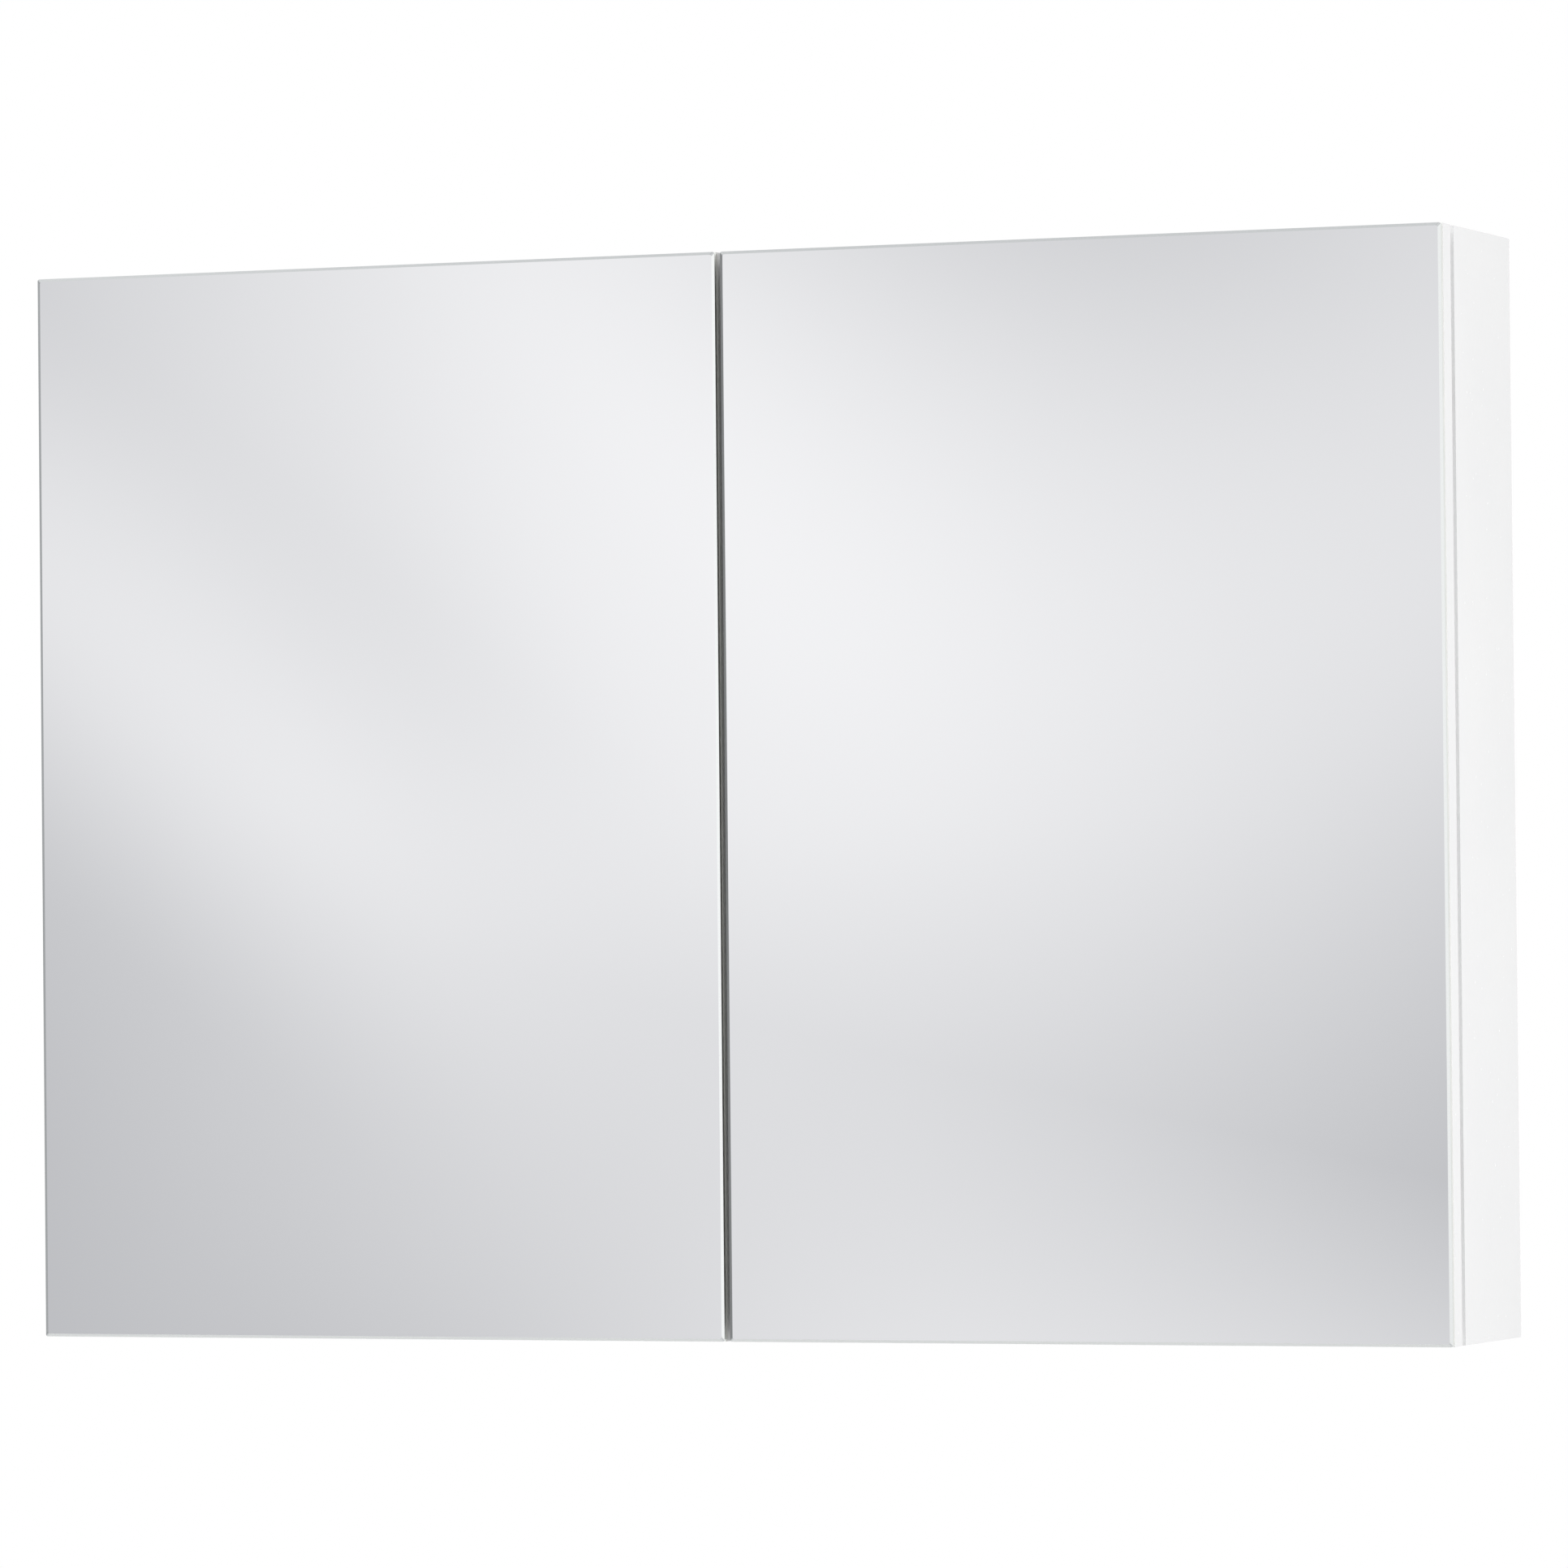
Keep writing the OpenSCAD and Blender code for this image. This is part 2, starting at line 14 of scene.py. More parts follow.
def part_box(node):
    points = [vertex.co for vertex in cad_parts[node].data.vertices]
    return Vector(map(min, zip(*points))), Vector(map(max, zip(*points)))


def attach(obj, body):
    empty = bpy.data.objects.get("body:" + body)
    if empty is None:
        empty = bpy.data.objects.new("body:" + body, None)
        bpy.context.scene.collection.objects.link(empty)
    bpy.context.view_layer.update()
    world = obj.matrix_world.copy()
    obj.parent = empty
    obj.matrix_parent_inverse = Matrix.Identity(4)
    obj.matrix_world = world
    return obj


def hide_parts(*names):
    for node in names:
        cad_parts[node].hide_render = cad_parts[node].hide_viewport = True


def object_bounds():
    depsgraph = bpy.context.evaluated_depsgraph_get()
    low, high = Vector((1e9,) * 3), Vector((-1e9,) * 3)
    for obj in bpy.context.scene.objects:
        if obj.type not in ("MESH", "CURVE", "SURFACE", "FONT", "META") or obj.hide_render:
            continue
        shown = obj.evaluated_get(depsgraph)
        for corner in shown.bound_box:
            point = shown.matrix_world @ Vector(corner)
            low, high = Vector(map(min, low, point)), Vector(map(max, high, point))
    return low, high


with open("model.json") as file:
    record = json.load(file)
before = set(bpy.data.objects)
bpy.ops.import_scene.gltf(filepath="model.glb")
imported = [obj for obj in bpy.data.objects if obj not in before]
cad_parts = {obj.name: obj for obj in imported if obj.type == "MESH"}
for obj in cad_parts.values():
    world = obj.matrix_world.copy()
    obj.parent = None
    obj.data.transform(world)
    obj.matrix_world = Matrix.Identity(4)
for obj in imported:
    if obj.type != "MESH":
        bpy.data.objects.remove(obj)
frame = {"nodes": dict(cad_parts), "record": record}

CAD_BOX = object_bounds()
LOW, HIGH = CAD_BOX
SIDES = ("left", "right")

# ---------------------------------------------------------------- node graphs


class Graph:
    """Short words for building a material's or the world's nodes."""

    def __init__(self, tree):
        self.tree = tree
        tree.nodes.clear()

    def add(self, kind, inputs=None, **settings):
        """A new node with these inputs and settings."""
        node = self.tree.nodes.new(kind)
        for key, value in settings.items():
            setattr(node, key, value)
        for key, value in (inputs or {}).items():
            self.feed(node.inputs[key], value)
        return node

    def feed(self, socket, value):
        """Link another node's output to the socket, or set the socket's own value."""
        if isinstance(value, bpy.types.NodeSocket):
            self.tree.links.new(value, socket)
        else:
            socket.default_value = value

    def math(self, operation, a, b=0.0, c=0.0):
        """One sum, product or function of one to three values."""
        node = self.add("ShaderNodeMath", operation=operation)
        for socket, value in zip(node.inputs, (a, b, c)):
            self.feed(socket, value)
        return node.outputs[0]

    def blur_step(self, value, start, end, low=0.0, high=1.0):
        """Low before start, high after end, and smooth between them."""
        node = self.add(
            "ShaderNodeMapRange",
            {"Value": value, "From Min": start, "From Max": end, "To Min": low, "To Max": high},
            interpolation_type="SMOOTHSTEP",
        )
        return node.outputs["Result"]

    def scale(self, value, low, high):
        """A value from 0 to 1, as low to high."""
        node = self.add("ShaderNodeMapRange", {"Value": value, "To Min": low, "To Max": high})
        return node.outputs["Result"]

    def place(self, stretch=(1, 1, 1)):
        """A point of the piece in the row frame, stretched."""
        here = self.add("ShaderNodeTexCoord").outputs["Object"]
        return self.add("ShaderNodeMapping", {"Vector": here, "Scale": stretch}).outputs[0]

    def noise(self, where, size, detail=3.0, rough=0.5):
        """Noise with features of this size in metres."""
        node = self.add(
            "ShaderNodeTexNoise",
            {"Vector": where, "Scale": 1 / size, "Detail": detail, "Roughness": rough},
        )
        return node.outputs["Fac"]

    def ramp(self, value, *stops):
        """Colours blended between stops of (position, colour)."""
        node = self.add("ShaderNodeValToRGB", {"Fac": value})
        band = node.color_ramp.elements
        while len(band) < len(stops):
            band.new(0.5)
        for item, (at, colour) in zip(band, stops):
            item.position = at
            item.color = (*colour, 1)
        return node.outputs["Color"]

    def bump(self, height, depth, strength=1.0):
        """A normal for relief of this depth in metres."""
        inputs = {"Height": height, "Distance": depth, "Strength": strength}
        return self.add("ShaderNodeBump", inputs).outputs["Normal"]


def material(name, build, **sockets):
    """A material with one Principled shader. build(graph) returns the sockets that vary over it."""
    made = bpy.data.materials.new(name)
    made.use_nodes = True
    graph = Graph(made.node_tree)
    shader = graph.add("ShaderNodeBsdfPrincipled")
    for key, value in sockets.items():
        shader.inputs[key.replace("_", " ")].default_value = value
    for key, value in build(graph).items():
        graph.feed(shader.inputs[key], value)
    graph.add("ShaderNodeOutputMaterial", {"Surface": shader.outputs[0]})
    return made


# ---------------------------------------------------------------- materials


def lacquer_look(g):
    """White board: smooth lacquer with a faint orange peel and slight cloudiness."""
    here = g.place()
    cloud = g.noise(here, 0.12, 4)
    peel = g.noise(here, 0.0035, 2)
    grain = g.noise(here, 0.0009, 2)
    height = g.math("MULTIPLY_ADD", grain, 0.25, peel)
    return {
        "Base Color": g.ramp(cloud, (0.3, (0.855, 0.857, 0.86)), (0.7, (0.885, 0.885, 0.883))),
        "Roughness": g.scale(peel, 0.2, 0.3),
        "Normal": g.bump(height, 0.00004, 0.5),
    }


def silver_look(g):
    """Silvered glass: a clear reflection with the faintest haze of wiping."""
    here = g.place((1, 1, 0.25))
    wipe = g.noise(here, 0.2, 5, 0.6)
    return {
        "Base Color": g.ramp(wipe, (0.3, (0.935, 0.936, 0.947)), (0.7, (0.94, 0.941, 0.952))),
        "Roughness": g.blur_step(wipe, 0.45, 0.8, 0.0, 0.012),
    }


def glass_edge_look(g):
    """Ground and polished edge of float glass: pale, with fine marks of the wheel."""
    marks = g.noise(g.place((6, 6, 1)), 0.004, 3)
    cloud = g.noise(g.place(), 0.02, 3)
    return {
        "Base Color": g.ramp(cloud, (0.3, (0.86, 0.89, 0.85)), (0.7, (0.92, 0.94, 0.9))),
        "Roughness": g.scale(marks, 0.05, 0.16),
        "Normal": g.bump(marks, 0.00003, 0.4),
    }


def bevel_look(g):
    """The narrow ground and polished bevel round a mirror's face: a slightly duller mirror."""
    marks = g.noise(g.place((4, 4, 4)), 0.003, 3)
    return {
        "Base Color": g.ramp(marks, (0.3, (0.89, 0.915, 0.905)), (0.7, (0.94, 0.955, 0.945))),
        "Roughness": g.scale(marks, 0.05, 0.14),
    }


def backing_look(g):
    """Grey protective paint on the back of a mirror."""
    flow = g.noise(g.place((1, 1, 3)), 0.03, 4)
    return {
        "Base Color": g.ramp(flow, (0.3, (0.33, 0.36, 0.36)), (0.7, (0.39, 0.42, 0.41))),
        "Roughness": g.scale(flow, 0.45, 0.6),
        "Normal": g.bump(flow, 0.00005, 0.3),
    }


def clear_look(g):
    """Float glass with a few faint wiping marks."""
    wipe = g.noise(g.place((1, 3, 1)), 0.03, 4)
    return {
        "Base Color": g.ramp(wipe, (0.3, (0.955, 0.985, 0.97)), (0.7, (0.97, 0.99, 0.98))),
        "Roughness": g.blur_step(wipe, 0.5, 0.9, 0.0, 0.03),
    }


def clear_edge_look(g):
    """The polished edge of a clear shelf, where the glass shows its green."""
    marks = g.noise(g.place((1, 4, 6)), 0.003, 3)
    return {
        "Base Color": g.ramp(marks, (0.3, (0.42, 0.68, 0.56)), (0.7, (0.52, 0.78, 0.66))),
        "Roughness": g.scale(marks, 0.05, 0.2),
        "Normal": g.bump(marks, 0.00002, 0.4),
    }


def nickel_look(g):
    """Nickel-plated pressed steel, with fine drawing marks."""
    streak = g.noise(g.place((1, 0.12, 1)), 0.0006, 4)
    cloud = g.noise(g.place(), 0.006, 3)
    return {
        "Base Color": g.ramp(cloud, (0.3, (0.72, 0.71, 0.685)), (0.7, (0.78, 0.77, 0.745))),
        "Roughness": g.scale(streak, 0.14, 0.3),
        "Normal": g.bump(streak, 0.00001, 0.5),
    }


def casting_look(g):
    """Zinc die casting: dull, with a fine cast skin."""
    skin = g.noise(g.place(), 0.0007, 4)
    return {
        "Base Color": g.ramp(skin, (0.3, (0.47, 0.47, 0.48)), (0.7, (0.6, 0.6, 0.61))),
        "Roughness": g.scale(skin, 0.36, 0.52),
        "Normal": g.bump(skin, 0.00004, 0.6),
    }


def galvanised_look(g):
    """Galvanised sheet with its spangle."""
    here = g.place()
    cell = g.add("ShaderNodeTexVoronoi", {"Vector": here, "Scale": 1 / 0.006}).outputs["Color"]
    tone = g.add("ShaderNodeSeparateColor", {"Color": cell}).outputs[0]
    fine = g.noise(here, 0.0008, 3)
    return {
        "Base Color": g.ramp(tone, (0.0, (0.5, 0.51, 0.53)), (1.0, (0.66, 0.67, 0.69))),
        "Roughness": g.scale(tone, 0.28, 0.46),
        "Normal": g.bump(fine, 0.00002, 0.4),
    }


def plastic_look(g):
    """White moulded plastic with a fine spark-eroded grain."""
    grain = g.noise(g.place(), 0.0005, 2)
    flow = g.noise(g.place(), 0.02, 3)
    return {
        "Base Color": g.ramp(flow, (0.3, (0.8, 0.8, 0.79)), (0.7, (0.84, 0.84, 0.83))),
        "Roughness": g.scale(grain, 0.38, 0.5),
        "Normal": g.bump(grain, 0.00003, 0.5),
    }


def soft_look(g):
    """Clear soft plastic of the pads and bumpers."""
    cloud = g.noise(g.place(), 0.003, 3)
    return {
        "Base Color": g.ramp(cloud, (0.3, (0.86, 0.87, 0.87)), (0.7, (0.94, 0.95, 0.95))),
        "Roughness": g.scale(cloud, 0.18, 0.32),
    }


def tape_look(g):
    """Foamed tape with adhesive on both faces."""
    cells = g.noise(g.place(), 0.0006, 3)
    return {
        "Base Color": g.ramp(cells, (0.3, (0.72, 0.69, 0.62)), (0.7, (0.83, 0.81, 0.75))),
        "Roughness": g.scale(cells, 0.6, 0.8),
        "Normal": g.bump(cells, 0.00008, 0.6),
    }


def beech_look(g):
    """Beech with short dark flecks along the grain."""
    fibre = g.noise(g.place((0.08, 1, 1)), 0.0012, 4)
    fleck = g.noise(g.place((0.3, 1, 1)), 0.0006, 2)
    colour = g.ramp(
        g.math("MULTIPLY_ADD", fleck, 0.35, fibre),
        (0.5, (0.56, 0.37, 0.21)),
        (0.8, (0.74, 0.55, 0.36)),
    )
    return {
        "Base Color": colour,
        "Roughness": g.scale(fibre, 0.5, 0.68),
        "Normal": g.bump(fibre, 0.00006, 0.6),
    }


def fibreboard_look(g):
    """Thin fibreboard with a white painted face, through which its fibres show a little."""
    fibre = g.noise(g.place(), 0.0016, 5, 0.7)
    cloud = g.noise(g.place(), 0.09, 4)
    tone = g.math("MULTIPLY_ADD", cloud, 0.3, g.math("MULTIPLY", fibre, 0.7))
    return {
        "Base Color": g.ramp(tone, (0.35, (0.79, 0.785, 0.77)), (0.65, (0.84, 0.838, 0.828))),
        "Roughness": g.scale(fibre, 0.5, 0.66),
        "Normal": g.bump(fibre, 0.00008, 0.4),
    }


LOOKS = {
    "white_board": material("white_lacquer", lacquer_look, Coat_Weight=0.3, Coat_Roughness=0.08),
    "back_board": material("painted_fibreboard", fibreboard_look),
    "mirror_glass": material("silvered_glass", silver_look, Metallic=1.0),
    "glass_edge": material("polished_glass_edge", glass_edge_look, Metallic=1.0),
    "glass_bevel": material("polished_mirror_arris", bevel_look, Metallic=1.0),
    "backing": material("mirror_backing_paint", backing_look),
    "clear_glass": material("clear_float_glass", clear_look, Transmission_Weight=1.0, IOR=1.5),
    "clear_edge": material("green_glass_edge", clear_edge_look, Transmission_Weight=0.55, IOR=1.5),
    "clear_soft_plastic": material("clear_soft_plastic", soft_look, Transmission_Weight=0.85, IOR=1.45),
    "dowel_wood": material("beech_wood", beech_look),
    "white_plastic": material("white_moulded_plastic", plastic_look),
    "tape": material("foam_tape", tape_look),
    "galvanised_steel": material("galvanised_sheet", galvanised_look, Metallic=1.0),
    "zinc_casting": material("zinc_die_casting", casting_look, Metallic=1.0),
    "nickel_steel": material("nickel_plated_steel", nickel_look, Metallic=1.0),
}

# ---------------------------------------------------------------- mesh code


def mesh_piece(name, verts, faces, slots, body, stands_for):
    """A piece from faces of (vertex numbers, slot number), riding on a body in place of CAD nodes."""
    mesh = bpy.data.meshes.new(name)
    mesh.from_pydata(verts, [], [f[0] for f in faces])
    for slot in slots:
        mesh.materials.append(LOOKS[slot])
    for polygon, (_, index) in zip(mesh.polygons, faces):
        polygon.material_index = index
    work = bmesh.new()
    work.from_mesh(mesh)
    bmesh.ops.recalc_face_normals(work, faces=work.faces)
    work.to_mesh(mesh)
    work.free()
    piece = bpy.data.objects.new(name, mesh)
    bpy.context.scene.collection.objects.link(piece)
    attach(piece, body)
    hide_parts(stands_for)


def inset(outline, distance):
    """The outline moved in by a distance, with mitred corners. The outline runs anticlockwise."""
    moved = []
    count = len(outline)
    for i, point in enumerate(outline):
        before, after = Vector(outline[i - 1]), Vector(outline[(i + 1) % count])
        here = Vector(point)
        one = (here - before).normalized()
        two = (after - here).normalized()
        n1, n2 = Vector((-one.y, one.x)), Vector((-two.y, two.x))
        mitre = (n1 + n2) / (1 + n1.dot(n2))
        moved.append(tuple(here + mitre * distance))
    return moved


def slab(name, corners, radius, front, back, bevel, slots, body, stands_for, upright=True):
    """A sheet with rounded corners, a bevel of (width, depth) round its front or top face and an
    arris round its other face. The corners are in x and z when upright, else in x and y.
    Slots: front or top face, its bevel, edges, back or under face."""
    width, depth = bevel
    step = depth if back > front else -depth
    outline = rounded(corners, radius)
    rings = (
        (rounded(inset(corners, width), radius), front),
        (outline, front + step),
        (outline, back - step),
        (rounded(inset(corners, depth), radius), back),
    )
    verts = []
    for ring, level in rings:
        verts += [(u, level, v) if upright else (u, v, level) for u, v in ring]
    n = len(outline)
    faces = [(tuple(range(n)), 0), (tuple(range(3 * n, 4 * n)), 3)]
    for ring, slot in enumerate((1, 2, 2)):
        for i in range(n):
            j = (i + 1) % n
            quad = (ring * n + i, ring * n + j, (ring + 1) * n + j, (ring + 1) * n + i)
            faces.append((quad, slot))
    mesh_piece(name, verts, faces, slots, body, stands_for)


def rounded(corners, radius, steps=4):
    """The corner points with each corner rounded."""
    points = []
    count = len(corners)
    for i, corner in enumerate(corners):
        here = Vector(corner)
        one = (Vector(corners[i - 1]) - here).normalized()
        two = (Vector(corners[(i + 1) % count]) - here).normalized()
        start, end = here + one * radius, here + two * radius
        for k in range(steps + 1):
            t = k / steps
            points.append(tuple((1 - t) ** 2 * start + 2 * t * (1 - t) * here + t * t * end))
    return points


# ---------------------------------------------------------------- mirrors and shelves

MIRROR_RADIUS = 0.0015
SHELF_RADIUS = 0.003
# Bevels and arrises as (width, depth)
MIRROR_BEVEL = (0.0019, 0.0005)
SMALL_ARRIS = (0.0006, 0.0006)
NOTCH_DEPTH = 0.048  # room for each hinge in an inner mirror, from the board's side edge
NOTCH_HALF = 0.034
CUP_HALF = 0.0284  # half the height of a hinge cup's flange
MIRROR_SLOTS = ("mirror_glass", "glass_bevel", "glass_edge", "backing")
SHELF_SLOTS = ("clear_glass", "clear_edge", "clear_edge", "clear_glass")


def corners_of(node, axis):
    """The corners of a node's box in x and one other axis, anticlockwise."""
    low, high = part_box(node)
    return [(low.x, low[axis]), (high.x, low[axis]), (high.x, high[axis]), (low.x, high[axis])]


def door_mirror(face, side, corners, front, back, bevel):
    """The outer or inner mirror of a door, in place of the CAD's."""
    slab(
        f"{face}_mirror_glass_{side}",
        corners,
        MIRROR_RADIUS,
        front,
        back,
        bevel,
        MIRROR_SLOTS,
        f"{side}_door",
        f"{face}_mirror_{side}",
    )


def outer_mirror(side):
    node = f"outer_mirror_{side}"
    low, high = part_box(node)
    door_mirror("outer", side, corners_of(node, 2), low.y, high.y, MIRROR_BEVEL)


def inner_mirror(side):
    """The mirror on the door's inner face, with a notch round each hinge cup."""
    low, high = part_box(f"inner_mirror_{side}")
    board_low, board_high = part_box(f"door_board_{side}")
    cups_low, cups_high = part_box(f"hinge_cups_{side}")
    if side == "left":
        hinge_x, free_x, notch_x = low.x, high.x, board_low.x + NOTCH_DEPTH
    else:
        hinge_x, free_x, notch_x = high.x, low.x, board_high.x - NOTCH_DEPTH
    path = [(hinge_x, low.z)]
    for z in (cups_low.z + CUP_HALF, cups_high.z - CUP_HALF):
        path += [
            (hinge_x, z - NOTCH_HALF),
            (notch_x, z - NOTCH_HALF),
            (notch_x, z + NOTCH_HALF),
            (hinge_x, z + NOTCH_HALF),
        ]
    path += [(hinge_x, high.z), (free_x, high.z), (free_x, low.z)]
    if side == "left":
        path.reverse()
    door_mirror("inner", side, path, high.y, low.y, SMALL_ARRIS)


def glass_shelf(side, row):
    node = f"shelf_{side}_{row}"
    low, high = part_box(node)
    slab(
        f"glass_{node}",
        corners_of(node, 1),
        SHELF_RADIUS,
        high.z,
        low.z,
        SMALL_ARRIS,
        SHELF_SLOTS,
        "carcass",
        node,
        upright=False,
    )


for side in SIDES:
    outer_mirror(side)
    inner_mirror(side)
    for row in ("lower", "upper"):
        glass_shelf(side, row)

# ---------------------------------------------------------------- CAD nodes

SLOT_OF = {part["node"]: part["material_slot"] for part in frame["record"]["subparts"]}
SOFT_ANGLE = 40.0  # edges sharper than this many degrees are rounded
BOARD_EDGE = 0.0006
FITTING_EDGE = 0.0002


def dress(item, slot):
    """Give a CAD node its look and slightly rounded edges."""
    item.data.materials.clear()
    item.data.materials.append(LOOKS[slot])
    edge = item.modifiers.new("soft_edges", "BEVEL")
    edge.limit_method = "ANGLE"
    edge.angle_limit = math.radians(SOFT_ANGLE)
    edge.width = BOARD_EDGE if slot == "white_board" else FITTING_EDGE
    edge.segments = 2
    edge.use_clamp_overlap = True


for name, item in frame["nodes"].items():
    if not item.hide_render:
        dress(item, SLOT_OF[name])

# ---------------------------------------------------------------- floor, world, lights

FLOOR_DROP = 2.6  # below the cabinet
FLOOR_RADIUS = 8.0
FLOOR_FADE = (2.5, 7.6)  # radii between which the floor fades out
FLOOR_SIDES = 96


def floor_piece():
    """A pale round floor that fades out toward its rim."""
    work = bmesh.new()
    bmesh.ops.create_circle(work, cap_ends=True, segments=FLOOR_SIDES, radius=FLOOR_RADIUS)
    mesh = bpy.data.meshes.new("floor")
    work.to_mesh(mesh)
    work.free()
    floor = bpy.data.objects.new("floor", mesh)
    floor.location = (0, 0, LOW.z - FLOOR_DROP)
    bpy.context.scene.collection.objects.link(floor)
    look = bpy.data.materials.new("pale_floor")
    look.use_nodes = True
    g = Graph(look.node_tree)
    here = g.add("ShaderNodeTexCoord").outputs["Object"]
    away = g.add("ShaderNodeVectorMath", {0: here}, operation="LENGTH").outputs["Value"]
    cloud = g.ramp(g.noise(here, 0.4), (0.3, (0.83, 0.83, 0.83)), (0.7, (0.85, 0.85, 0.85)))
    paint = g.add("ShaderNodeBsdfDiffuse", {"Color": cloud}).outputs[0]
    fade = g.blur_step(away, *FLOOR_FADE)
    clear = g.add("ShaderNodeBsdfTransparent").outputs[0]
    mix = g.add("ShaderNodeMixShader", {0: fade, 1: paint, 2: clear}).outputs[0]
    g.add("ShaderNodeOutputMaterial", {"Surface": mix})
    mesh.materials.append(look)


floor_piece()


# The world's angles are in degrees: azimuth to the left of straight ahead of the doors, and height
# above the horizon. A step holds its start, its end, and how much is added beyond it.
HORIZON_TONE = 0.52
SKY_STEPS = ((7.0, 35.0, 0.36), (40.0, 75.0, -0.36), (-5.0, -30.0, 0.25))
# White cards and grey flags: strength, centre, half size, softness of the sides, tilt
STUDIO_CARDS = (
    (0.50, (20.5, 3.0), (5.0, 5.0), (5.0, 3.0), 3.0),
    (0.65, (18.5, -3.0), (4.2, 0.3), (2.5, 3.5), -8.0),
    (-0.50, (17.0, -1.6), (3.8, 1.8), (6.5, 3.5), 13.0),
    (-0.42, (20.0, 6.0), (2.0, 2.5), (2.0, 3.0), -40.0),
    (0.15, (26.0, 2.0), (0.8, 3.0), (0.8, 1.8), -50.0),
    (-0.08, (26.0, 0.0), (3.0, 1.5), (1.0, 1.5), -32.0),
    (0.62, (-6.5, 2.0), (7.0, 8.0), (5.0, 6.0), 0.0),
    (0.34, (-64.0, -6.0), (5.0, 8.0), (9.0, 9.0), 20.0),
    (0.36, (-38.0, 6.0), (9.0, 9.0), (12.0, 8.0), 15.0),
    (-0.46, (49.5, 1.0), (4.0, 9.0), (8.0, 9.0), 4.0),
    (0.26, (72.0, 3.0), (7.0, 10.0), (9.0, 9.0), -12.0),
    (-0.40, (21.0, 29.0), (9.0, 4.0), (9.0, 6.0), 0.0),
    (0.34, (180.0, 4.0), (50.0, 30.0), (30.0, 30.0), 0.0),
    (-0.16, (-150.0, -9.0), (7.0, 7.0), (9.0, 6.0), 20.0),
    (-0.14, (148.0, 4.0), (6.0, 12.0), (9.0, 9.0), -24.0),
)
# What lights the dull surfaces: little from the front, more from the sides, back and top
FRONT_FILL = 0.16
SIDE_STEPS = ((25.0, 75.0, 0.23), (110.0, 150.0, 0.36))
TOP_STEP = (40.0, 70.0, 0.7)
# Colours of the studio's tones: black, middle grey and white
TONES = ((0.0, (0, 0, 0)), (0.55, (0.541, 0.547, 0.564)), (1.0, (0.995, 0.995, 1.0)))


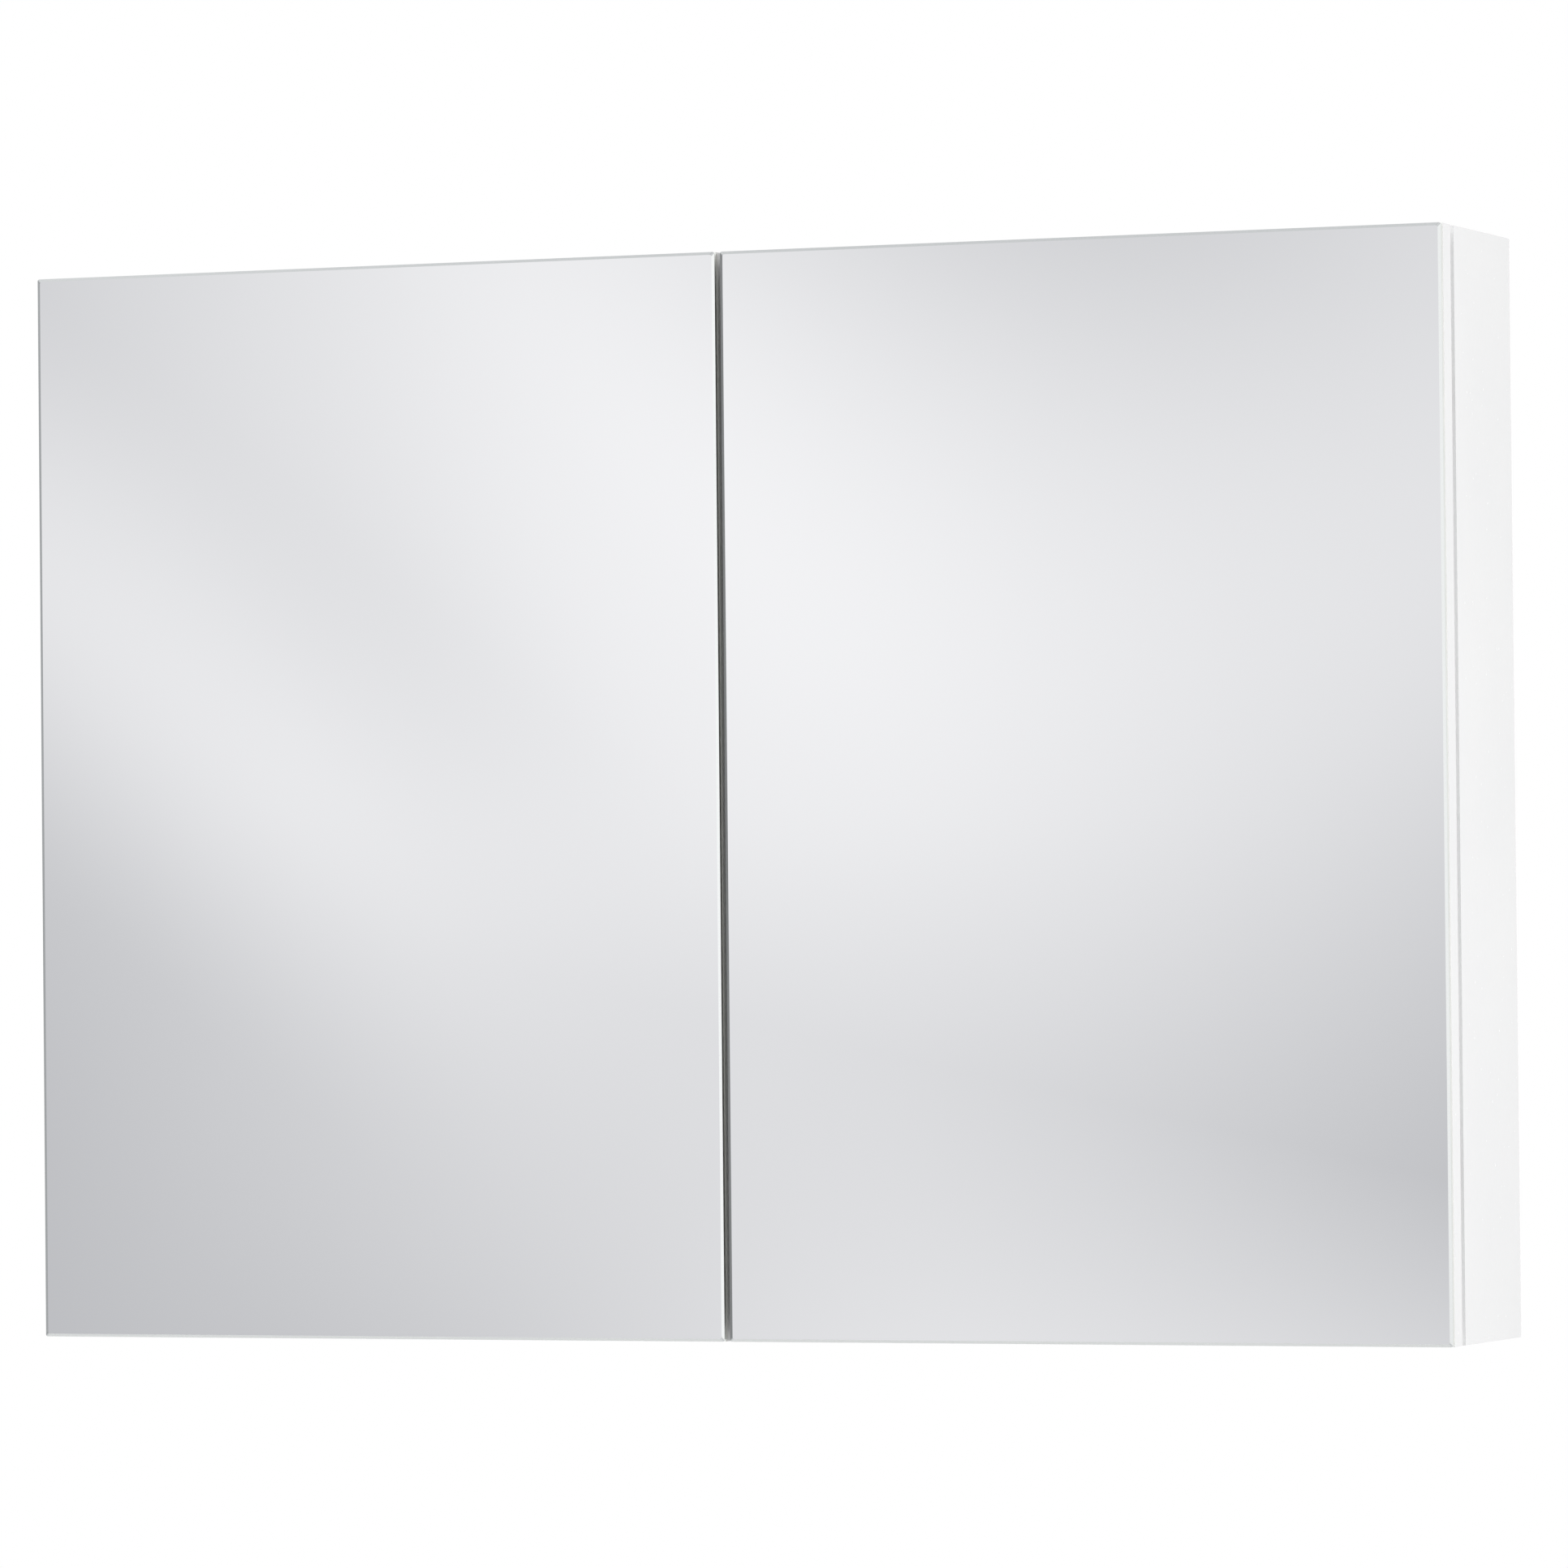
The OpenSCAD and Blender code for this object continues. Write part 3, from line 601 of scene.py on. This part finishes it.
def world_light():
    """White for the camera. Reflections see a pale studio with soft, slanting changes of tone."""
    world = bpy.data.worlds.new("studio")
    world.use_nodes = True
    bpy.context.scene.world = world
    g = Graph(world.node_tree)
    way = g.add("ShaderNodeTexCoord").outputs["Generated"]
    parts = g.add("ShaderNodeSeparateXYZ", {0: way}).outputs
    back_x = g.math("MULTIPLY", parts[0], -1.0)
    back_y = g.math("MULTIPLY", parts[1], -1.0)
    to_degrees = math.degrees(1)
    azimuth = g.math("MULTIPLY", g.math("ARCTAN2", back_x, back_y), to_degrees)
    height = g.math("MULTIPLY", g.math("ARCSINE", parts[2]), to_degrees)

    def step(total, angle, start, end, rise):
        return g.math("ADD", total, g.blur_step(angle, start, end, 0.0, rise))

    def card(centre, half, soft, tilt):
        """How much of a soft, tilted rectangle in the sky is seen, from 0 to 1."""
        across = g.math("WRAP", g.math("SUBTRACT", azimuth, centre[0]), 180.0, -180.0)
        up = g.math("SUBTRACT", height, centre[1])
        c, s = math.cos(math.radians(tilt)), math.sin(math.radians(tilt))
        u = g.math("MULTIPLY_ADD", up, s, g.math("MULTIPLY", across, c))
        v = g.math("MULTIPLY_ADD", across, -s, g.math("MULTIPLY", up, c))
        masks = [
            g.blur_step(g.math("ABSOLUTE", w), size + edge, size - edge)
            for w, size, edge in ((u, half[0], soft[0]), (v, half[1], soft[1]))
        ]
        return g.math("MULTIPLY", *masks)

    tone = HORIZON_TONE
    for sky_step in SKY_STEPS:
        tone = step(tone, height, *sky_step)
    for strength, *shape in STUDIO_CARDS:
        tone = g.math("MULTIPLY_ADD", card(*shape), strength, tone)
    fill = FRONT_FILL
    for side_step in SIDE_STEPS:
        fill = step(fill, g.math("ABSOLUTE", azimuth), *side_step)
    fill = step(fill, height, *TOP_STEP)

    white = (1, 1, 1, 1)
    reflected = g.add("ShaderNodeBackground", {"Color": g.ramp(tone, *TONES)}).outputs[0]
    dull = g.add("ShaderNodeBackground", {"Color": white, "Strength": fill}).outputs[0]
    seen = g.add("ShaderNodeBackground", {"Color": white}).outputs[0]
    ray = g.add("ShaderNodeLightPath").outputs
    lit = g.add("ShaderNodeMixShader", {0: ray["Is Diffuse Ray"], 1: reflected, 2: dull}).outputs[0]
    both = g.add("ShaderNodeMixShader", {0: ray["Is Camera Ray"], 1: lit, 2: seen}).outputs[0]
    g.add("ShaderNodeOutputWorld", {"Surface": both})


world_light()


# Softboxes: place, side length and power
SOFTBOXES = {
    "side_softbox": ((2.4, -1.6, 0.3), 1.6, 46.0),
    "top_softbox": ((-2.6, -2.0, 3.2), 2.6, 90.0),
}


def softbox(name, place, size, power):
    """A square light turned to the cabinet's middle, not seen itself or in reflections."""
    lamp = bpy.data.lights.new(name, "AREA")
    lamp.shape = "SQUARE"
    lamp.size = size
    lamp.energy = power
    item = bpy.data.objects.new(name, lamp)
    item.location = place
    item.rotation_euler = ((LOW + HIGH) / 2 - Vector(place)).to_track_quat("-Z", "Y").to_euler()
    item.visible_camera = item.visible_glossy = False
    bpy.context.scene.collection.objects.link(item)


for name, (place, size, power) in SOFTBOXES.items():
    softbox(name, place, size, power)

# ---------------------------------------------------------------- camera

YAW, PITCH, ROLL = (math.radians(a) for a in (21.64, 1.07, -0.55))
CAMERA_PLACE = Vector((2.202, -5.589, 0.258))
SENSOR_MM = 36.0
LENS_MM = 204.037

camera = bpy.data.cameras.new("camera")
camera.sensor_width = SENSOR_MM
camera.lens = LENS_MM
camera.clip_start, camera.clip_end = 0.1, 100
view_point = bpy.data.objects.new("camera", camera)
bpy.context.scene.collection.objects.link(view_point)
ahead = Vector((-math.sin(YAW) * math.cos(PITCH), math.cos(YAW) * math.cos(PITCH), math.sin(PITCH)))
across = Vector((math.cos(YAW), math.sin(YAW), 0))
upward = across.cross(ahead)
right = across * math.cos(ROLL) + upward * math.sin(ROLL)
up = upward * math.cos(ROLL) - across * math.sin(ROLL)
turn = Matrix((right, up, -ahead)).transposed()
view_point.matrix_world = Matrix.Translation(CAMERA_PLACE) @ turn.to_4x4()
bpy.context.scene.camera = view_point

scene = bpy.context.scene
scene.view_settings.view_transform = "Standard"
scene.view_settings.look = "None"

# ---------------------------------------------------------------- update the view layer

bpy.context.view_layer.update()
